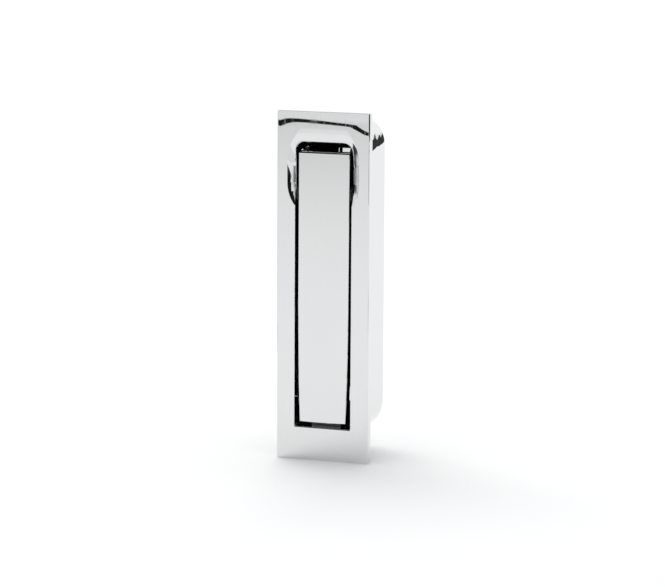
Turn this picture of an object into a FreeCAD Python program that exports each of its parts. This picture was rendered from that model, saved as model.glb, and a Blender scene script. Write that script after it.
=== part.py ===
import FreeCAD, Part
import math
import os

V = FreeCAD.Vector

# Pocket door edge pull: a flat face plate with a finger scoop, a rounded
# housing cast behind it, and a lever that fills the slot in the plate.
# Pressing the lever's top into the scoop turns it on a cross pin, and its long
# lower arm swings out as the pull.
#
# Millimetres. X is across the plate, Z is up along it, and +Y points into the
# door. The origin is the middle of the plate on the plane of its back, which
# seats on the door's edge.

# ---- face plate ----
PLATE_W = 25.0
PLATE_H = 91.0
PLATE_T = 2.2
FACE_Y = -PLATE_T                # plane of the visible face
PLATE_CORNER_R = 0.40            # the four corners seen from the front
PLATE_EDGE_R = 0.30              # polished-over long edges of the face
PLATE_END_R = 0.08               # its crisper top and bottom edges

# ---- housing cast behind the plate ----
BODY_HALF_W = 9.3
BODY_LEN = 84.0
BODY_MID_Z = 0.5
BODY_TOP_R = 7.2                 # its rounded ends, seen from the front
BODY_LOW_R = 8.6
BODY_BACK_Y = 20.8
BODY_BACK_R = 0.6                # rounded rim of the back
BACK_WALL = 2.0

# ---- slot through the plate, and the cavity behind it ----
SLOT_HALF_W = 7.64
SLOT_LOW_Z = -36.75
SLOT_TOP_Z = 37.6
SLOT_LOW_R = 0.35
SLOT_TOP_R = 2.3
SLOT_EDGE_R = 0.20               # polished-over rim of the slot in the flat face
SCOOP_EDGE_R = 0.60              # the softer rim where the slot cuts the scoop
FOOT_ROLL_R = 0.30               # rolled edge below the slot, from wall to wall
CAVITY_BACK_Y = BODY_BACK_Y - BACK_WALL

# ---- finger scoop round the lever's top ----
SCOOP_R = 15.56                  # ball-nosed trough, 1.45 deep at the slot
SCOOP_FRONT = 12.17              # its axis stands this far in front of the face
SCOOP_LOW_Z = 27.05              # centre of the ball end
LIP_R = 16.0                     # rolled lip at the top of the scoop
LIP_Z = 41.2                     # where the lip runs out into the face
SCOOP_BLEND_R = 8.0

# ---- pivot ----
PIVOT_Y = 3.55
PIVOT_Z = 24.0
PIN_R = 1.5
PIN_CLEAR = 0.05                 # running fit of the lever on its pin
PIN_LEFT_X = -9.2                # pressed in from the left, just below flush
PIN_RIGHT_X = 8.6                # blind end in the right wall

# ---- lever ----
LEVER_HALF_W = 6.87
LEVER_FACE_Y = FACE_Y + 0.73     # beside the pivot
LEVER_TILT = 0.55                # degrees: at rest its foot stands a little nearer the face
LEVER_ARM_T = 3.2
LEVER_TOP_Z = 34.95              # straight front edge of the top end
LEVER_LOW_Z = -35.62
LEVER_FOOT_HALF_W = 6.30         # its sides draw in towards the foot
LEVER_TAPER_Z = -5.0             # from here down
LEVER_TOP_R = math.hypot(LEVER_TOP_Z - PIVOT_Z, LEVER_FACE_Y - PIVOT_Y)
LEVER_CORNER_R = 1.7             # rounded top corners, seen from the front
LEVER_TOP_EDGE_R = 0.6           # soft edge between the face and the top end
LEVER_EDGE_R = 0.15              # polished-over edges of its face
HEAD_BACK = 2.9                  # head's back, behind the pivot
HEAD_LOW_Z = 18.6
BOW = 0.15                       # the lower end is very slightly bowed
BOSS_R = 3.2
BOSS_HALF_X = 7.50               # hub faces that keep the lever central
POCKET_HALF_X = 3.0              # pocket for the spring in the head's back
POCKET_LOW_Z = 19.5
POCKET_TOP_Z = 32.2

# ---- torsion spring round the pin ----
WIRE_R = 0.4
COIL_R = 2.15
COIL_TURNS = 4.25
COIL_PITCH = 0.92
LEG_UP = 6.2                     # lies on the pocket's front wall, in the lever
LEG_BACK_Y = CAVITY_BACK_Y - 0.25   # rests on the rib of the housing's back
POCKET_FRONT_Y = PIVOT_Y - COIL_R - WIRE_R - 0.12

# ---- stops cast in the housing ----
OPEN_ANGLE = 80.0
CLOSED_GAP = 0.06
LEDGE_HALF_X = 4.0
LEDGE_TOP_Z = -33.0
RIB_FRONT = 7.6                  # front of the cross rib, behind the pivot
RIB_LOW_Z = 15.5
NOTCH_HALF_X = 0.75              # notch in the rib for the spring's leg

# ---- fixing screws through the back wall, reached with the lever open ----
SCREW_Z = 32.0
SCREW_HOLE_R = 1.9
SCREW_SINK_R = 3.6
SCREW_SINK_DEPTH = 1.3


def rounded_outline(x0, x1, z0, z1, r_low, r_top, y):
    """Closed wire in the plane of that y, with its own low and top radii."""
    k = math.sqrt(0.5)
    corners = [
        (x1 - r_low, z0 + r_low, r_low, 1, -1),
        (x1 - r_top, z1 - r_top, r_top, 1, 1),
        (x0 + r_top, z1 - r_top, r_top, -1, 1),
        (x0 + r_low, z0 + r_low, r_low, -1, -1),
    ]
    arcs = []
    for cx, cz, r, sx, sz in corners:
        side = V(cx + sx * r, y, cz)
        mid = V(cx + sx * r * k, y, cz + sz * r * k)
        end = V(cx, y, cz + sz * r)
        arcs.append((side, mid, end))
    order = [
        (arcs[0][2], arcs[0][1], arcs[0][0]),
        (arcs[1][0], arcs[1][1], arcs[1][2]),
        (arcs[2][2], arcs[2][1], arcs[2][0]),
        (arcs[3][0], arcs[3][1], arcs[3][2]),
    ]
    edges = []
    for i, (a, m, b) in enumerate(order):
        edges.append(Part.Arc(a, m, b).toShape())
        nxt = order[(i + 1) % 4][0]
        if b.distanceToPoint(nxt) > 1e-6:
            edges.append(Part.LineSegment(b, nxt).toShape())
    return Part.Wire(edges)


def rounded_prism(x0, x1, z0, z1, r_low, r_top, y0, y1):
    wire = rounded_outline(x0, x1, z0, z1, r_low, r_top, y0)
    return Part.Face(wire).extrude(V(0, y1 - y0, 0))


def one_solid(shape):
    shape = shape.removeSplitter()
    solids = shape.Solids
    if len(solids) != 1:
        raise RuntimeError("expected one solid, found %d" % len(solids))
    return solids[0]


def edges_where(shape, test):
    return [e for e in shape.Edges if test(e)]


def all_at(edge, test):
    pts = [v.Point for v in edge.Vertexes]
    mid = edge.valueAt(0.5 * (edge.FirstParameter + edge.LastParameter))
    return all(test(p) for p in pts + [mid])


def on_slot_outline(p):
    """True where a point's X and Z lie on the slot's outline."""
    r = SLOT_TOP_R if p.z > 0 else SLOT_LOW_R
    mid = 0.5 * (SLOT_TOP_Z + SLOT_LOW_Z)
    qx = abs(p.x) - (SLOT_HALF_W - r)
    qz = abs(p.z - mid) - (0.5 * (SLOT_TOP_Z - SLOT_LOW_Z) - r)
    outside = math.hypot(max(qx, 0.0), max(qz, 0.0)) + min(max(qx, qz), 0.0) - r
    return abs(outside) < 2e-3


# ---------------------------------------------------------------- housing
def scoop_cutter():
    axis_y = FACE_Y - SCOOP_FRONT
    top = LIP_Z + 6.0
    trough = Part.makeCylinder(SCOOP_R, top - SCOOP_LOW_Z, V(0, axis_y, SCOOP_LOW_Z), V(0, 0, 1))
    ball = Part.makeSphere(SCOOP_R, V(0, axis_y, SCOOP_LOW_Z))
    trough = trough.fuse(ball).removeSplitter()
    # everything below the rolled lip: a profile in the YZ plane
    lip_y = FACE_Y + LIP_R
    z_wall = LIP_Z - LIP_R
    front = FACE_Y - 14.0
    a = V(-20, front, 0.0)
    b = V(-20, front, LIP_Z)
    c = V(-20, FACE_Y, LIP_Z)
    k = math.sqrt(0.5)
    m = V(-20, lip_y - LIP_R * k, LIP_Z - LIP_R * k)
    d = V(-20, lip_y, z_wall)
    e = V(-20, lip_y, 0.0)
    wire = Part.Wire([
        Part.LineSegment(a, b).toShape(),
        Part.LineSegment(b, c).toShape(),
        Part.Arc(c, m, d).toShape(),
        Part.LineSegment(d, e).toShape(),
        Part.LineSegment(e, a).toShape(),
    ])
    below = Part.Face(wire).extrude(V(40, 0, 0))
    cutter = trough.common(below)
    corner = edges_where(
        cutter,
        lambda g: all_at(
            g,
            lambda p: abs(math.hypot(p.x, p.y - axis_y) - SCOOP_R) < 1e-3
            and abs(math.hypot(p.y - lip_y, p.z - LIP_Z) - LIP_R) < 1e-3,
        ),
    )
    if corner:
        try:
            blended = cutter.makeFillet(SCOOP_BLEND_R, corner)
            if blended.isValid() and blended.Volume > 0.9 * cutter.Volume:
                cutter = blended
                print("scoop corner blended")
        except Exception as err:
            print("scoop corner left sharp:", err)
    return cutter


def plate_rim(plate):
    """Polishes over the face's edge, less along its top and bottom."""
    doc = FreeCAD.newDocument("plate")
    base = doc.addObject("Part::Feature", "base")
    base.Shape = plate
    radii = []
    for i, e in enumerate(base.Shape.Edges):
        if not all_at(e, lambda p: abs(p.y - FACE_Y) < 1e-6):
            continue
        ends = [e.valueAt(e.FirstParameter), e.valueAt(e.LastParameter)]
        radii.append((i + 1,) + tuple(
            PLATE_EDGE_R if abs(p.x) > PLATE_W / 2 - 1e-3 else PLATE_END_R for p in ends))
    roll = doc.addObject("Part::Fillet", "roll")
    roll.Base = base
    roll.Edges = radii
    doc.recompute()
    rolled = roll.Shape.copy()
    FreeCAD.closeDocument(doc.Name)
    print("plate: %d edges rolled, %.2f mm3 taken off" % (len(radii), plate.Volume - rolled.Volume))
    if not rolled.isValid() or len(rolled.Solids) != 1 or rolled.Volume > plate.Volume - 0.5:
        raise RuntimeError("the plate's rolled edge is not sound")
    return rolled


def rolled_rim(block):
    """Rolls over the slot's front rim, more where it cuts the scoop."""
    doc = FreeCAD.newDocument("rim")
    base = doc.addObject("Part::Feature", "base")
    base.Shape = block
    radii = []
    for i, e in enumerate(base.Shape.Edges):
        if not all_at(e, lambda p: on_slot_outline(p) and p.y < -1e-3 and p.z > SLOT_LOW_Z + 1e-3):
            continue
        ends = [e.valueAt(e.FirstParameter), e.valueAt(e.LastParameter)]
        if abs(ends[0].y - ends[1].y) > 1.9:
            continue
        radii.append((i + 1,) + tuple(SLOT_EDGE_R if p.y < FACE_Y + 1e-4 else SCOOP_EDGE_R for p in ends))
    roll = doc.addObject("Part::Fillet", "roll")
    roll.Base = base
    roll.Edges = radii
    doc.recompute()
    rolled = roll.Shape.copy()
    FreeCAD.closeDocument(doc.Name)
    print("rim: %d edges rolled, %.2f mm3 taken off" % (len(radii), block.Volume - rolled.Volume))
    if not rolled.isValid() or len(rolled.Solids) != 1 or rolled.Volume > block.Volume - 0.3:
        raise RuntimeError("the rolled rim is not sound")
    return rolled


def foot_roll_cutter():
    """Takes the corner off below the slot and leaves a quarter-round."""
    r = FOOT_ROLL_R
    block = Part.makeBox(2 * SLOT_HALF_W, r + 1.0, r + 0.3,
                         V(-SLOT_HALF_W, FACE_Y - 1.0, SLOT_LOW_Z - r))
    rod = Part.makeCylinder(r, 2 * SLOT_HALF_W, V(-SLOT_HALF_W, FACE_Y + r, SLOT_LOW_Z - r), V(1, 0, 0))
    return block.cut(rod)


def make_housing():
    plate = rounded_prism(-PLATE_W / 2, PLATE_W / 2, -PLATE_H / 2, PLATE_H / 2,
                          PLATE_CORNER_R, PLATE_CORNER_R, FACE_Y, 0.0)
    plate = plate_rim(plate)
    body = rounded_prism(-BODY_HALF_W, BODY_HALF_W,
                         BODY_MID_Z - BODY_LEN / 2, BODY_MID_Z + BODY_LEN / 2,
                         BODY_LOW_R, BODY_TOP_R, -1.0, BODY_BACK_Y)
    back = edges_where(body, lambda e: all_at(e, lambda p: abs(p.y - BODY_BACK_Y) < 1e-6))
    body = body.makeFillet(BODY_BACK_R, back)
    block = plate.fuse(body).removeSplitter()

    slot = rounded_prism(-SLOT_HALF_W, SLOT_HALF_W, SLOT_LOW_Z, SLOT_TOP_Z,
                         SLOT_LOW_R, SLOT_TOP_R, FACE_Y - 5.0, CAVITY_BACK_Y)
    block = block.cut(slot)
    block = block.cut(scoop_cutter())
    block = rolled_rim(block)
    block = block.cut(foot_roll_cutter())

    # closed stop: a ledge in the cavity's foot, behind the lever's lower end
    foot = (PIVOT_Z - LEDGE_TOP_Z) * math.sin(math.radians(LEVER_TILT))
    ledge_y = LEVER_FACE_Y + LEVER_ARM_T - foot + CLOSED_GAP
    ledge = Part.makeBox(2 * LEDGE_HALF_X, 3.0, LEDGE_TOP_Z - SLOT_LOW_Z + 0.5,
                         V(-LEDGE_HALF_X, ledge_y, SLOT_LOW_Z - 0.5))
    block = block.fuse(ledge)

    # open stop: a cross rib on the back wall, under the turned head
    ang = math.radians(OPEN_ANGLE + LEVER_TILT)
    gap = HEAD_BACK + 0.12
    ny, nz = math.cos(ang), -math.sin(ang)       # the turned head's back normal

    def stop_z(y):
        return PIVOT_Z + (gap - (y - PIVOT_Y) * ny) / nz

    y_front = PIVOT_Y + RIB_FRONT
    y_deep = CAVITY_BACK_Y + 0.5
    x_a = -SLOT_HALF_W - 0.5
    p = [
        V(x_a, y_front, stop_z(y_front)),
        V(x_a, y_deep, stop_z(y_deep)),
        V(x_a, y_deep, RIB_LOW_Z - 3.0),
        V(x_a, CAVITY_BACK_Y, RIB_LOW_Z - 3.0),
        V(x_a, y_front, RIB_LOW_Z),
    ]
    rib = Part.Face(Part.makePolygon(p + [p[0]])).extrude(V(-2 * x_a, 0, 0))
    leg_x = spring_leg_x(CAVITY_BACK_Y - 3.0)
    notch = Part.makeBox(2 * NOTCH_HALF_X, CAVITY_BACK_Y - y_front + 1.0, 8.0,
                         V(leg_x - NOTCH_HALF_X, y_front - 1.0, PIVOT_Z - COIL_R - WIRE_R - 0.02))
    block = block.fuse(rib.cut(notch))

    # pin: through the left wall, blind in the right one
    left = Part.makeCylinder(PIN_R, 4.0, V(-BODY_HALF_W - 1.0, PIVOT_Y, PIVOT_Z), V(1, 0, 0))
    right = Part.makeCylinder(PIN_R, PIN_RIGHT_X - 6.0, V(6.0, PIVOT_Y, PIVOT_Z), V(1, 0, 0))
    block = block.cut(left).cut(right)

    # countersunk screw holes in the back wall
    for z in (-SCREW_Z, SCREW_Z):
        hole = Part.makeCylinder(SCREW_HOLE_R, BACK_WALL + 2.0, V(0, CAVITY_BACK_Y - 1.0, z), V(0, 1, 0))
        sink = Part.makeCone(SCREW_SINK_R, SCREW_HOLE_R, SCREW_SINK_DEPTH, V(0, CAVITY_BACK_Y, z), V(0, 1, 0))
        block = block.cut(hole).cut(sink)
    return one_solid(block)


# ---------------------------------------------------------------- lever
def on_lever_front(p):
    """True on the lever's face, its soft top edge and its rounded top end."""
    away = math.hypot(p.y - PIVOT_Y, p.z - PIVOT_Z)
    return p.y < LEVER_FACE_Y + 1e-4 or away > LEVER_TOP_R - 0.35


def make_lever():
    k = math.sqrt(0.5)
    y0 = LEVER_FACE_Y
    y1 = LEVER_FACE_Y + LEVER_ARM_T
    yb = PIVOT_Y + HEAD_BACK
    r = LEVER_TOP_R
    z_back = PIVOT_Z + math.sqrt(r * r - HEAD_BACK * HEAD_BACK)
    x = -LEVER_HALF_W
    a = V(x, y0, LEVER_LOW_Z - 1.0)
    b = V(x, y0, LEVER_TOP_Z)
    mid_ang = 0.5 * (math.atan2(b.z - PIVOT_Z, b.y - PIVOT_Y) + math.atan2(z_back - PIVOT_Z, HEAD_BACK))
    m = V(x, PIVOT_Y + r * math.cos(mid_ang), PIVOT_Z + r * math.sin(mid_ang))
    c = V(x, yb, z_back)
    d = V(x, yb, HEAD_LOW_Z)
    rise = yb - y1
    e = V(x, y1, HEAD_LOW_Z - rise * 1.6)
    f = V(x, y1, LEVER_LOW_Z - 1.0)
    wire = Part.Wire([
        Part.LineSegment(a, b).toShape(),
        Part.Arc(b, m, c).toShape(),
        Part.LineSegment(c, d).toShape(),
        Part.LineSegment(d, e).toShape(),
        Part.LineSegment(e, f).toShape(),
        Part.LineSegment(f, a).toShape(),
    ])
    side = Part.Face(wire).extrude(V(2 * LEVER_HALF_W, 0, 0))

    # outline seen from the front: rounded top corners, sides drawn in towards
    # the foot, bowed lower end
    w = LEVER_HALF_W
    wf = LEVER_FOOT_HALF_W
    top = PIVOT_Z + r + 0.12         # the corners run out just above the top end
    cr = LEVER_CORNER_R
    low_side = LEVER_LOW_Z + BOW
    run = LEVER_TAPER_Z - low_side
    taper_r = (run * run + (w - wf) ** 2) / (2 * (w - wf))
    half = 0.5 * math.asin(run / taper_r)
    tx = w - taper_r * (1 - math.cos(half))
    tz = LEVER_TAPER_Z - taper_r * math.sin(half)
    yf = y0 - 1
    p0 = V(-wf, yf, low_side)
    p1 = V(0, yf, LEVER_LOW_Z)
    p2 = V(wf, yf, low_side)
    p2m = V(tx, yf, tz)
    p2e = V(w, yf, LEVER_TAPER_Z)
    p3 = V(w, yf, top - cr)
    p4 = V(w - cr + cr * k, yf, top - cr + cr * k)
    p5 = V(w - cr, yf, top)
    p6 = V(-w + cr, yf, top)
    p7 = V(-w + cr - cr * k, yf, top - cr + cr * k)
    p8 = V(-w, yf, top - cr)
    p8e = V(-w, yf, LEVER_TAPER_Z)
    p8m = V(-tx, yf, tz)
    outline = Part.Wire([
        Part.Arc(p0, p1, p2).toShape(),
        Part.Arc(p2, p2m, p2e).toShape(),
        Part.LineSegment(p2e, p3).toShape(),
        Part.Arc(p3, p4, p5).toShape(),
        Part.LineSegment(p5, p6).toShape(),
        Part.Arc(p6, p7, p8).toShape(),
        Part.LineSegment(p8, p8e).toShape(),
        Part.Arc(p8e, p8m, p0).toShape(),
    ])
    prism = Part.Face(outline).extrude(V(0, yb - y0 + 2, 0))
    lever = side.common(prism).removeSplitter()

    # soft edge between the face and the top end, then the face's other edges
    top_edge = edges_where(lever, lambda g: all_at(g, lambda p: abs(p.y - y0) < 1e-4 and abs(p.z - LEVER_TOP_Z) < 1e-4))
    lever = lever.makeFillet(LEVER_TOP_EDGE_R, top_edge)

    def on_sides(p):
        return abs(p.x) > LEVER_FOOT_HALF_W - 1e-3 or p.z < low_side + 1e-3

    face_edges = edges_where(
        lever,
        lambda g: all_at(g, lambda p: abs(p.y - y0) < 1e-4 and on_sides(p))
        or all_at(g, lambda p: p.z > LEVER_TOP_Z - 1.0 and abs(p.x) > w - cr + 0.1 and on_lever_front(p)),
    )
    try:
        eased = lever.makeFillet(LEVER_EDGE_R, face_edges)
        if eased.isValid() and len(eased.Solids) == 1:
            lever = eased
            print("lever face: %d edges eased" % len(face_edges))
    except Exception as err:
        print("lever face edges left sharp:", err)

    # eased back edges of the arm and head
    back = edges_where(
        lever,
        lambda g: all_at(g, lambda p: p.y > y1 - 1e-4 and p.z < HEAD_LOW_Z + 0.1)
        and (abs(g.Vertexes[0].Point.x - g.Vertexes[-1].Point.x) < 1e-4)
    )
    try:
        eased = lever.makeFillet(0.5, back)
        if eased.isValid():
            lever = eased
    except Exception as err:
        print("lever back edges left sharp:", err)

    # hub faces at both sides of the pin hole
    boss = Part.makeCylinder(BOSS_R, 2 * BOSS_HALF_X, V(-BOSS_HALF_X, PIVOT_Y, PIVOT_Z), V(1, 0, 0))
    boss = boss.common(Part.makeBox(40, yb - POCKET_FRONT_Y, 40, V(-20, POCKET_FRONT_Y, 0)))
    lever = lever.fuse(boss)

    # spring pocket, open at the back of the head
    pocket = Part.makeBox(2 * POCKET_HALF_X, 20.0, POCKET_TOP_Z - POCKET_LOW_Z,
                          V(-POCKET_HALF_X, POCKET_FRONT_Y, POCKET_LOW_Z))
    lever = lever.cut(pocket)

    bore = Part.makeCylinder(PIN_R + PIN_CLEAR, 40, V(-20, PIVOT_Y, PIVOT_Z), V(1, 0, 0))
    lever = lever.cut(bore)
    lever.rotate(V(0, PIVOT_Y, PIVOT_Z), V(-1, 0, 0), LEVER_TILT)
    return one_solid(lever)


# ---------------------------------------------------------------- pin, spring
def make_pin():
    pin = Part.makeCylinder(PIN_R, PIN_RIGHT_X - PIN_LEFT_X, V(PIN_LEFT_X, PIVOT_Y, PIVOT_Z), V(1, 0, 0))
    ends = edges_where(pin, lambda e: e.Closed)
    return pin.makeChamfer(0.2, ends).Solids[0]


def spring_slope():
    return COIL_PITCH / (2 * math.pi * COIL_R)


def spring_leg_x(y):
    """X of the rear leg where it is that far back."""
    return COIL_TURNS * COIL_PITCH / 2 + (y - PIVOT_Y) * spring_slope()


def make_spring():
    # right-handed coil along +X: it starts at the front of the pin, where the
    # upper leg comes down, and ends below it, where the rear leg leaves
    half = COIL_TURNS * COIL_PITCH / 2
    helix = Part.makeHelix(COIL_PITCH, 2 * half, COIL_R)
    helix.rotate(V(0, 0, 0), V(0, 0, 1), 180)
    # local x, y, z become y, z, x
    turn = FreeCAD.Matrix(0, 0, 1, -half,
                          1, 0, 0, PIVOT_Y,
                          0, 1, 0, PIVOT_Z,
                          0, 0, 0, 1)
    helix = helix.transformGeometry(turn)
    slope = spring_slope()
    n = math.hypot(1.0, slope)
    start = V(-half, PIVOT_Y - COIL_R, PIVOT_Z)
    down = V(slope / n, 0, -1 / n)
    end = V(half, PIVOT_Y, PIVOT_Z - COIL_R)
    back = V(slope / n, 1 / n, 0)
    circle = Part.Wire([Part.makeCircle(WIRE_R, start, down)])
    coil = Part.Wire(helix.Edges).makePipeShell([circle], True, True)
    upper = Part.makeCylinder(WIRE_R, LEG_UP, start, V(-down.x, 0, -down.z))
    rear = Part.makeCylinder(WIRE_R, (LEG_BACK_Y - PIVOT_Y) * n, end, back)
    spring = coil.fuse(upper).fuse(rear)
    length = 2 * math.pi * COIL_R * COIL_TURNS * n + LEG_UP + (LEG_BACK_Y - PIVOT_Y) * n
    print("spring: wire %.1f mm long, volume %.2f of %.2f mm3" % (
        length, spring.Volume, length * math.pi * WIRE_R ** 2))
    return one_solid(spring)


os.makedirs("parts", exist_ok=True)
shapes = {
    "housing": make_housing(),
    "lever": make_lever(),
    "pivot_pin": make_pin(),
    "torsion_spring": make_spring(),
}
for name, shape in shapes.items():
    box = shape.optimalBoundingBox(True, False)
    print("%-10s valid %s  volume %.1f mm3  box X %.2f..%.2f  Y %.2f..%.2f  Z %.2f..%.2f" % (
        name, shape.isValid(), shape.Volume, box.XMin, box.XMax, box.YMin, box.YMax, box.ZMin, box.ZMax))
    shape.exportStep("parts/%s.step" % name)
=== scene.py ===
import bpy, bmesh, math
from mathutils import Vector, Matrix


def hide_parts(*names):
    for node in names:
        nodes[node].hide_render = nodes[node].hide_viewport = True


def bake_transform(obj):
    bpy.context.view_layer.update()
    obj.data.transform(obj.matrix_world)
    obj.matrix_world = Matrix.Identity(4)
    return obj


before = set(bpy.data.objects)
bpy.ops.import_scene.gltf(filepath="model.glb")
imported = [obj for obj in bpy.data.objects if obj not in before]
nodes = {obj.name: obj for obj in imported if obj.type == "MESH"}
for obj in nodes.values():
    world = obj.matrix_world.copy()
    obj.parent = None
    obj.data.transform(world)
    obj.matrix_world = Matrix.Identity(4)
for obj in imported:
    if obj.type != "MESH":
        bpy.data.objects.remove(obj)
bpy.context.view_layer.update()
scene = bpy.context.scene
FLOOR_Z = -0.0455


# ------------------------------------------------------------------ node help
class Num:
    """A value in a node tree: arithmetic on it makes Math nodes."""

    def __init__(self, tree, out):
        self.tree, self.out = tree, out

    def _op(self, op, *others, clamp=False):
        n = self.tree.nodes.new("ShaderNodeMath")
        n.operation = op
        n.use_clamp = clamp
        for i, v in enumerate((self,) + others):
            if isinstance(v, Num):
                self.tree.links.new(v.out, n.inputs[i])
            else:
                n.inputs[i].default_value = v
        return Num(self.tree, n.outputs[0])

    def __add__(self, o): return self._op("ADD", o)
    def __radd__(self, o): return self._op("ADD", o)
    def __sub__(self, o): return self._op("SUBTRACT", o)
    def __rsub__(self, o): return (self * -1.0) + o
    def __mul__(self, o): return self._op("MULTIPLY", o)
    def __rmul__(self, o): return self._op("MULTIPLY", o)
    def __truediv__(self, o): return self._op("DIVIDE", o)
    def abs(self): return self._op("ABSOLUTE")
    def max(self, o): return self._op("MAXIMUM", o)
    def min(self, o): return self._op("MINIMUM", o)
    def pow(self, o): return self._op("POWER", o)
    def clamp(self): return self._op("ADD", 0.0, clamp=True)

    def smooth(self, lo, hi, a=0.0, b=1.0):
        """Smooth step from a at lo to b at hi."""
        n = self.tree.nodes.new("ShaderNodeMapRange")
        n.interpolation_type = "SMOOTHSTEP"
        self.tree.links.new(self.out, n.inputs["Value"])
        n.inputs["From Min"].default_value = lo
        n.inputs["From Max"].default_value = hi
        n.inputs["To Min"].default_value = a
        n.inputs["To Max"].default_value = b
        return Num(self.tree, n.outputs["Result"])

    def window(self, lo, hi, soft):
        """1 between lo and hi, 0 outside, with soft flanks."""
        return self.smooth(lo - soft, lo + soft) * self.smooth(hi - soft, hi + soft, 1.0, 0.0)


def split(tree, vector):
    n = tree.nodes.new("ShaderNodeSeparateXYZ")
    tree.links.new(vector, n.inputs[0])
    return [Num(tree, o) for o in n.outputs]


def scaled(tree, vector, scale, turn=(0, 0, 0), shift=(0, 0, 0)):
    n = tree.nodes.new("ShaderNodeMapping")
    n.inputs["Scale"].default_value = scale
    n.inputs["Rotation"].default_value = turn
    n.inputs["Location"].default_value = shift
    tree.links.new(vector, n.inputs["Vector"])
    return n.outputs[0]


def noise(tree, vector, scale, detail=2.0, rough=0.5):
    n = tree.nodes.new("ShaderNodeTexNoise")
    n.inputs["Scale"].default_value = scale
    n.inputs["Detail"].default_value = detail
    n.inputs["Roughness"].default_value = rough
    tree.links.new(vector, n.inputs["Vector"])
    return Num(tree, n.outputs["Fac"])


def mix_colour(tree, fac, a, b):
    n = tree.nodes.new("ShaderNodeMix")
    n.data_type = "RGBA"
    for sock, v in ((n.inputs[0], fac), (n.inputs[6], a), (n.inputs[7], b)):
        if isinstance(v, Num):
            tree.links.new(v.out, sock)
        elif isinstance(v, (int, float)):
            sock.default_value = v
        elif isinstance(v, tuple):
            sock.default_value = (v[0], v[1], v[2], 1.0)
        else:
            tree.links.new(v, sock)
    return n.outputs[2]


def new_material(name):
    m = bpy.data.materials.new(name)
    m.use_nodes = True
    tree = m.node_tree
    shader = tree.nodes["Principled BSDF"]
    coords = tree.nodes.new("ShaderNodeTexCoord").outputs["Object"]
    return m, tree, shader, coords


def bumped(tree, height, distance, strength=1.0, normal=None):
    n = tree.nodes.new("ShaderNodeBump")
    n.inputs["Strength"].default_value = strength
    n.inputs["Distance"].default_value = distance
    tree.links.new(height.out, n.inputs["Height"])
    if normal is not None:
        tree.links.new(normal, n.inputs["Normal"])
    return n.outputs[0]


# ------------------------------------------------------------------ materials
def scratches(tree, coords, seed):
    """Thin, sparse polishing hairlines in three directions: 1 on a line, 0 elsewhere."""
    total = None
    for i, (turn, freq, cut) in enumerate(((0.06, 11000.0, 0.70), (-0.5, 9000.0, 0.735), (0.95, 10000.0, 0.74))):
        v = scaled(tree, coords, (freq, 0.25 * freq, 110.0), (0.0, turn, 0.0), (seed + 3.1 * i, 1.7 * i, 0.4 * i))
        line = noise(tree, v, 1.0, 1.0, 0.4).smooth(cut, cut + 0.05)
        total = line if total is None else total.max(line)
    return total


def chrome(name, seed, inner, relief=None):
    """Polished plate. inner gives how unpolished and shaded a place is, from 0 on show faces to 1 deep inside: there
    the finish is rougher, and the colour is darkened as painted shade.
    """
    m, tree, shader, coords = new_material(name)
    dull_and_shade = inner(tree, coords)
    hair = scratches(tree, coords, seed)
    cloud = noise(tree, scaled(tree, coords, (55, 55, 30), (0, 0, 0), (seed, 0, 0)), 1.0, 3.0, 0.55)
    smear = noise(tree, scaled(tree, coords, (260, 260, 90), (0, 0.4, 0), (0, seed, 0)), 1.0, 4.0, 0.6)
    rough = (cloud.smooth(0.35, 0.75) * 0.006 + smear.smooth(0.52, 0.8) * 0.014 + hair * 0.042 + 0.008)
    grit = noise(tree, coords, 5200.0, 3.0, 0.6)
    rough = rough * (1.0 - dull_and_shade) + (grit * 0.12 + 0.30) * dull_and_shade
    tree.links.new(rough.out, shader.inputs["Roughness"])
    clean = mix_colour(tree, cloud.smooth(0.3, 0.8), (0.742, 0.751, 0.750), (0.728, 0.736, 0.738))
    worn = mix_colour(tree, hair * 0.35, clean, (0.60, 0.61, 0.62))
    # painted shade: deep inside the cavity and on the lever's back the colour goes to a near black (0.10), for the
    # shade there; the rougher grit is the real unpolished finish
    colour = mix_colour(tree, dull_and_shade, worn, (0.10, 0.103, 0.106))
    tree.links.new(colour, shader.inputs["Base Color"])
    shader.inputs["Metallic"].default_value = 1.0
    # long soft waviness from buffing, hairlines, and the cast grain inside
    wave = noise(tree, scaled(tree, coords, (95, 95, 60), (0, 0, 0), (0, 0, seed)), 1.0, 1.0, 0.4)
    n = bumped(tree, wave, 0.0000010)
    n = bumped(tree, hair * (1.0 - dull_and_shade), 0.0000003, 0.5, n)
    if relief is not None:
        n = bumped(tree, relief(tree, coords), 1.0, 1.0, n)
    n = bumped(tree, grit * dull_and_shade, 0.00004, 1.0, n)
    tree.links.new(n, shader.inputs["Normal"])
    return m


def housing_cavity_matt_and_shade(tree, coords):
    """The cavity's walls behind the plate are as cast and plated, not polished; their colour is also darkened here
    as painted shade for the shade inside the cavity.
    """
    x, y, z = split(tree, coords)
    across = x.abs().smooth(0.00758, 0.00775, 1.0, 0.0)
    along = z.window(-0.03685, 0.0377, 0.00005)
    depth = y.smooth(-0.0004, 0.0016) * y.smooth(0.0189, 0.0191, 1.0, 0.0)
    return across * along * depth


def lever_back_matt_and_shade(tree, coords):
    """The lever's back and its spring pocket are plated but left unpolished; their colour is also darkened here as
    painted shade for the shade behind the plate.
    """
    x, y, z = split(tree, coords)
    return y.smooth(-0.0010, 0.0009) * z.smooth(0.0335, 0.0345, 1.0, 0.0)


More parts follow.
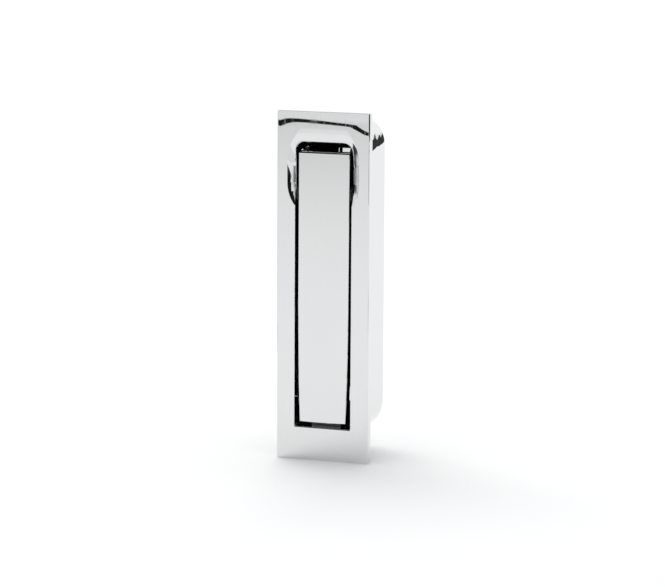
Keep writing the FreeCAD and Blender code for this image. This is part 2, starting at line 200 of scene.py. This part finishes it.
def lever_ears(tree, coords):
    """Flats beside the corners of the lever's top end, as a height in metres."""
    x, y, z = split(tree, coords)
    u = (y + 0.0005).max(0.0)
    rise = u * 2.08 + u * u * 358.0
    across = x + y * 0.325
    right = across.window(0.00447, 0.00880, 0.00004).max(across.window(0.00345, 0.00370, 0.00004))
    left = across.window(-0.00880, -0.00617, 0.00004).max(across.window(-0.00563, -0.00454, 0.00004) * 0.82)
    return rise * right.max(left) * z.smooth(0.0349, 0.0351) * y.smooth(0.0027, 0.0031, 1.0, 0.0)


def soft_scoop(tree, coords):
    """Buffing rounds the edge where the scoop leaves the face: a fill, as a height in metres."""
    x, y, z = split(tree, coords)
    depth = (y + 0.0022).max(0.0) * (-1.0 / 0.00006)
    fill = (1.0 - depth._op("EXPONENT")) * (0.9 * 0.00006)
    return fill * z.smooth(0.0365, 0.0385)


def brushed(name, colour, along, rough, seed):
    m, tree, shader, coords = new_material(name)
    v = scaled(tree, coords, along, (0, 0, 0), (seed, 0, 0))
    lines = noise(tree, v, 1.0, 3.0, 0.6)
    spots = noise(tree, coords, 900.0, 4.0, 0.6)
    dark = tuple(0.62 * c for c in colour)
    tint = mix_colour(tree, lines.smooth(0.3, 0.7) * 0.5 + spots.smooth(0.5, 0.8) * 0.3, colour, dark)
    tree.links.new(tint, shader.inputs["Base Color"])
    tree.links.new((lines * 0.16 + spots * 0.08 + rough).out, shader.inputs["Roughness"])
    shader.inputs["Metallic"].default_value = 1.0
    tree.links.new(bumped(tree, lines, 0.00001), shader.inputs["Normal"])
    return m


def dress(obj, material):
    obj.data.materials.clear()
    obj.data.materials.append(material)


plate_chrome = chrome("polished_chrome_housing", 2.0, housing_cavity_matt_and_shade, soft_scoop)
lever_chrome = chrome("polished_chrome_lever", 7.3, lever_back_matt_and_shade, lever_ears)
pin_steel = brushed("ground_pin_steel", (0.55, 0.55, 0.56), (3000, 300, 300), 0.20, 1.0)
wire_steel = brushed("spring_wire_steel", (0.42, 0.41, 0.40), (700, 2600, 2600), 0.24, 4.0)
dress(nodes["housing"], plate_chrome)
dress(nodes["lever"], lever_chrome)
dress(nodes["pivot_pin"], pin_steel)
dress(nodes["torsion_spring"], wire_steel)


# ------------------------------------------------------------------ spring
# the real spring bends when the lever swings; here a finer coil
# stands for its solid, in one fixed pose
def spring_path():
    radius, pitch, turns = 0.00215, 0.00092, 4.25
    py, pz = 0.00355, 0.0240
    half = turns * pitch / 2
    slope = pitch / (2 * math.pi * radius)
    n = math.hypot(1.0, slope)
    pts = []
    for i in range(14, 0, -1):
        t = 0.0062 * i / 14
        pts.append((-half - slope / n * t, py - radius, pz + t / n))
    steps = int(turns * 40)
    for i in range(steps + 1):
        a = 2 * math.pi * turns * i / steps
        pts.append((-half + pitch * turns * i / steps, py - radius * math.cos(a), pz - radius * math.sin(a)))
    reach = 0.01855 - py
    for i in range(1, 31):
        t = reach * i / 30
        pts.append((half + slope * t, py + t, pz - radius))
    return [Vector(p) for p in pts]


def wire_mesh(name, pts, radius, sides=14):
    tangents = []
    for i in range(len(pts)):
        a, b = pts[max(i - 1, 0)], pts[min(i + 1, len(pts) - 1)]
        tangents.append((b - a).normalized())
    u = tangents[0].orthogonal().normalized()
    bm = bmesh.new()
    rings = []

    def ring(centre, tangent, side, r):
        v = tangent.cross(side)
        return [bm.verts.new(centre + (side * math.cos(t) + v * math.sin(t)) * r)
                for t in (2 * math.pi * k / sides for k in range(sides))]

    for i, (p, t) in enumerate(zip(pts, tangents)):
        u = (u - t * u.dot(t)).normalized()
        if i == 0:
            rings.append(ring(p, t, u, radius * 0.72))
            rings.append(ring(p + t * radius * 0.28, t, u, radius))
        elif i == len(pts) - 1:
            rings.append(ring(p - t * radius * 0.28, t, u, radius))
            rings.append(ring(p, t, u, radius * 0.72))
        else:
            rings.append(ring(p, t, u, radius))
    for a, b in zip(rings[:-1], rings[1:]):
        for k in range(sides):
            bm.faces.new((a[k], a[(k + 1) % sides], b[(k + 1) % sides], b[k]))
    bm.faces.new(list(reversed(rings[0])))
    bm.faces.new(rings[-1])
    bmesh.ops.recalc_face_normals(bm, faces=bm.faces)
    me = bpy.data.meshes.new(name)
    bm.to_mesh(me)
    bm.free()
    for poly in me.polygons:
        poly.use_smooth = len(poly.vertices) == 4
    o = bpy.data.objects.new(name, me)
    scene.collection.objects.link(o)
    return o


spring = wire_mesh("spring_coil", spring_path(), 0.0004)
dress(spring, wire_steel)
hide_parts("torsion_spring")
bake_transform(spring)

# ------------------------------------------------------------------ floor
def stage_mesh(name, verts, faces, material):
    me = bpy.data.meshes.new(name)
    me.from_pydata(verts, [], faces)
    me.materials.append(material)
    o = bpy.data.objects.new(name, me)
    scene.collection.objects.link(o)
    return o


S = 4.0
paper, tree, shader, coords = new_material("floor_paper")
x, y, z = split(tree, coords)
grain = noise(tree, coords, 40.0, 4.0, 0.6) * 0.008
painted_falloff = ((-0.16 - y).max(0.0) / 0.6).pow(1.53).min(1.4)        # painted shade: the paper darkens towards its front end, for the light falling off there
# painted light: the paper is also a little lighter behind the object; the random grain is the paper's own
paper_grain_and_painted_light = 0.958 - painted_falloff * 0.20 * y.smooth(-0.80, -0.77, 0.55, 1.0) + y.smooth(-0.02, 0.12) * 0.03 - grain
tree.links.new(mix_colour(tree, paper_grain_and_painted_light, (0.0, 0.0, 0.0), (1.0, 1.0, 1.0)), shader.inputs["Base Color"])
shader.inputs["Roughness"].default_value = 0.9
shader.inputs["Specular IOR Level"].default_value = 0.0
floor = stage_mesh("floor", [(-S, -S, FLOOR_Z), (S, -S, FLOOR_Z), (S, S, FLOOR_Z), (-S, S, FLOOR_Z)],
                   [(0, 1, 2, 3)], paper)

# ------------------------------------------------------------------ light
key = bpy.data.lights.new("back_left_key", "SUN")
key.angle = math.radians(62.0)
key.energy = 0.25 * math.pi / math.sin(math.radians(33.0))
key_object = bpy.data.objects.new("back_left_key", key)
scene.collection.objects.link(key_object)
ka, ke = math.radians(-38.0), math.radians(33.0)
toward = Vector((math.sin(ka) * math.cos(ke), math.cos(ka) * math.cos(ke), math.sin(ke)))
key_object.location = toward
key_object.rotation_mode = "QUATERNION"
key_object.rotation_quaternion = (-toward).to_track_quat("-Z", "Y")
key_object.visible_glossy = False
key_object.visible_camera = False

world = bpy.data.worlds.new("studio")
scene.world = world
world.use_nodes = True
wt = world.node_tree
background = wt.nodes["Background"]
wx, wy, wz = split(wt, wt.nodes.new("ShaderNodeTexCoord").outputs["Generated"])
azimuth = wx._op("ARCTAN2", wy) * (180.0 / math.pi)          # 0 towards +Y, positive to +X
elevation = wz._op("ARCSINE") * (180.0 / math.pi)


def patch(a0, a1, e0, e1, soft):
    return azimuth.window(a0, a1, soft) * elevation.window(e0, e1, soft)


# the tent round the set is white, open at its front and overhead at the back
dark = patch(-75, 20, 42, 75, 3.0)
dark = dark.max(patch(-172, -112, 8.5, 76, 1.5))
dark = dark.max(patch(95, 133.1, 9, 58, 0.15))
level = 0.97 - dark * 0.955 + elevation.smooth(76.0, 79.0) * 0.4 + patch(-6, 17.5, 7.5, 24, 2.5) * 0.13
paths = wt.nodes.new("ShaderNodeLightPath")
glossy = Num(wt, paths.outputs["Is Glossy Ray"])
camera_ray = Num(wt, paths.outputs["Is Camera Ray"])
value = level * glossy + (1.0 - glossy) * (camera_ray * 1.0 + (1.0 - camera_ray) * 0.86)
wt.links.new(value.out, background.inputs["Strength"])
background.inputs["Color"].default_value = (0.985, 0.992, 1.0, 1.0)


# ------------------------------------------------------------------ black cards
# they stand round the set and only show in the polished faces
def polar(az, dist, z):
    a = math.radians(az)
    return (math.sin(a) * dist, math.cos(a) * dist, z)


def card(name, points, fade=None, colour=0.007):
    """A black card. fade is its opacity, or gives it from the place on the card."""
    m, tree, shader, coords = new_material(name + "_black")
    shader.inputs["Base Color"].default_value = (colour, 1.1 * colour, 1.08 * colour, 1)
    shader.inputs["Roughness"].default_value = 1.0
    shader.inputs["Specular IOR Level"].default_value = 0.0
    if fade is not None:
        see = tree.nodes.new("ShaderNodeBsdfTransparent")
        mix = tree.nodes.new("ShaderNodeMixShader")
        if callable(fade):
            tree.links.new(fade(tree, coords).out, mix.inputs[0])
        else:
            mix.inputs[0].default_value = fade
        tree.links.new(see.outputs[0], mix.inputs[1])
        tree.links.new(shader.outputs[0], mix.inputs[2])
        out = next(n for n in tree.nodes if n.type == "OUTPUT_MATERIAL")
        tree.links.new(mix.outputs[0], out.inputs["Surface"])
    o = stage_mesh(name, points, [tuple(range(len(points)))], m)
    o.visible_camera = False
    o.visible_diffuse = False
    o.visible_shadow = False
    o.visible_transmission = False
    return o


def wall(name, a0, a1, dist, height, fade=None):
    return card(name, [polar(a0, dist, FLOOR_Z), polar(a1, dist, FLOOR_Z),
                       polar(a1, dist, height), polar(a0, dist, height)], fade)


def bearing(tree, coords):
    x, y, z = split(tree, coords)
    return x._op("ARCTAN2", y) * (180.0 / math.pi)


def side_fade(tree, coords):
    """Opacity of the left card: it thins out towards one side and towards its top."""
    z = split(tree, coords)[2]
    slant = bearing(tree, coords) + 94.5 - z.min(0.0055) * 350.0
    return slant.smooth(-4.5, 3.2, 0.95, 0.2) * (1.0 - z.smooth(0.022, 0.042) * 0.9)


# the sheet's far edge, in front to the left of the object
near_edge = [(-293, -760), (-286, -753), (-286, -757), (-287, -766), (-286, -774), (-279, -774), (-271, -771),
             (-263, -768), (-255, -765), (-248, -761), (-242, -750), (-235, -738), (-229, -727), (-225, -723),
             (-222, -722)]
far_edge = [(-302, -782), (-297, -783), (-297, -791), (-295, -794), (-289, -793), (-282, -790), (-273, -786),
            (-264, -781), (-256, -777), (-248, -771), (-243, -761), (-236, -748), (-231, -740), (-227, -737)]
card("sheet_edge", [(x / 1000, y / 1000, FLOOR_Z + 0.0004) for x, y in near_edge + far_edge[::-1]])
# the two screw holes look into the dark
for hole_z in (0.032, -0.032):
    card("hole_card", [(0.00186 * math.cos(t), 0.02055, hole_z + 0.00186 * math.sin(t))
                       for t in (2 * math.pi * k / 24 for k in range(24))])
# open sides of the set
wall("right_side", 131.3, 95.0, 0.78, 0.9)
wall("right_side_back", 95.0, 40.0, 0.78, 0.9)
wall("front_side", 196.5, 168.0, 0.80, 0.9)
wall("front_right_side", 168.0, 132.6, 0.80, 0.9, lambda t, c: bearing(t, c).smooth(132.8, 138.0, 0.0, 1.0))
# a near one behind, with a torn upper edge, that shows on the housing's rounded end
az18 = math.radians(18.0)
card("torn_card", [(math.sin(az18) * 0.05 + math.cos(az18) * u / 1000, math.cos(az18) * 0.05 - math.sin(az18) * u / 1000,
                    z / 1000) for u, z in
                   ((7.6, 28.6), (4.95, 31.0), (4.18, 32.8), (3.4, 33.8), (3.1, 34.6), (3.0, 37.4), (2.44, 40.3),
                    (1.55, 42.7), (3.07, 40.1), (3.71, 38.5), (2.89, 41.4), (2.96, 42.1), (4.2, 39.4), (4.95, 37.6),
                    (4.63, 40.3), (3.41, 43.4), (1.91, 45.7), (3.77, 43.4), (5.69, 39.3), (7.6, 37.2))], colour=0.05)
card("low_box", [(x / 1000, y / 1000, FLOOR_Z + 0.0004) for x, y in
                 ((434, -380), (446, -374), (464, -367), (486, -364), (503, -366), (560, -300), (405, -300), (426, -364))])
card("grey_sheet", [polar(a, r, FLOOR_Z + 0.0006) for a, r in
                    ((131.6, 0.50), (140.0, 0.50), (152.0, 0.50), (164.0, 0.50),
                     (164.0, 0.77), (152.0, 0.77), (140.0, 0.77), (131.6, 0.77))],
     lambda t, c: bearing(t, c).smooth(132.1, 136.4, 0.0, 0.88))
wall("left_side", -86.0, -120.0, 0.195, 0.19, side_fade)
# three near ones on the floor that only the scoop's wings show
def floor_card(name, points, opacity):
    card(name, [(x / 1000, y / 1000, FLOOR_Z + 0.0008) for x, y in points], opacity)


floor_card("left_near", ((-124, -82), (-124, -128), (-158, -128), (-175, -98), (-186, -76), (-160, -76)), 0.93)
floor_card("right_pale", ((68, -136), (100, -146), (140, -162), (200, -188), (345, -274), (345, -316), (250, -268),
                          (150, -222), (68, -184)), 0.17)
floor_card("right_near", ((165, -85), (240, -85), (245, -160), (180, -160)), 0.85)

# ------------------------------------------------------------------ camera
AZ, EL, ROLL = math.radians(18.96), math.radians(9.70), math.radians(0.29)
DISTANCE = 0.700
TARGET = Vector((0.00271, -0.0022, -0.00118))
back = Vector((math.sin(AZ) * math.cos(EL), -math.cos(AZ) * math.cos(EL), math.sin(EL)))
level_right = Vector((math.cos(AZ), math.sin(AZ), 0.0))
level_up = level_right.cross(-back)
cam_right = level_right * math.cos(ROLL) + level_up * math.sin(ROLL)
cam_up = -level_right * math.sin(ROLL) + level_up * math.cos(ROLL)
cam = bpy.data.cameras.new("camera")
cam.sensor_width = 36.0
cam.lens = 2723.0 * 36.0 / 665.0
cam.clip_start, cam.clip_end = 0.05, 30.0
cam_obj = bpy.data.objects.new("camera", cam)
scene.collection.objects.link(cam_obj)
cam_obj.matrix_world = Matrix((
    (cam_right.x, cam_up.x, back.x, 0), (cam_right.y, cam_up.y, back.y, 0),
    (cam_right.z, cam_up.z, back.z, 0), (0, 0, 0, 1)))
cam_obj.location = TARGET + back * DISTANCE
scene.camera = cam_obj
scene.view_settings.view_transform = "Standard"
scene.view_settings.look = "None"
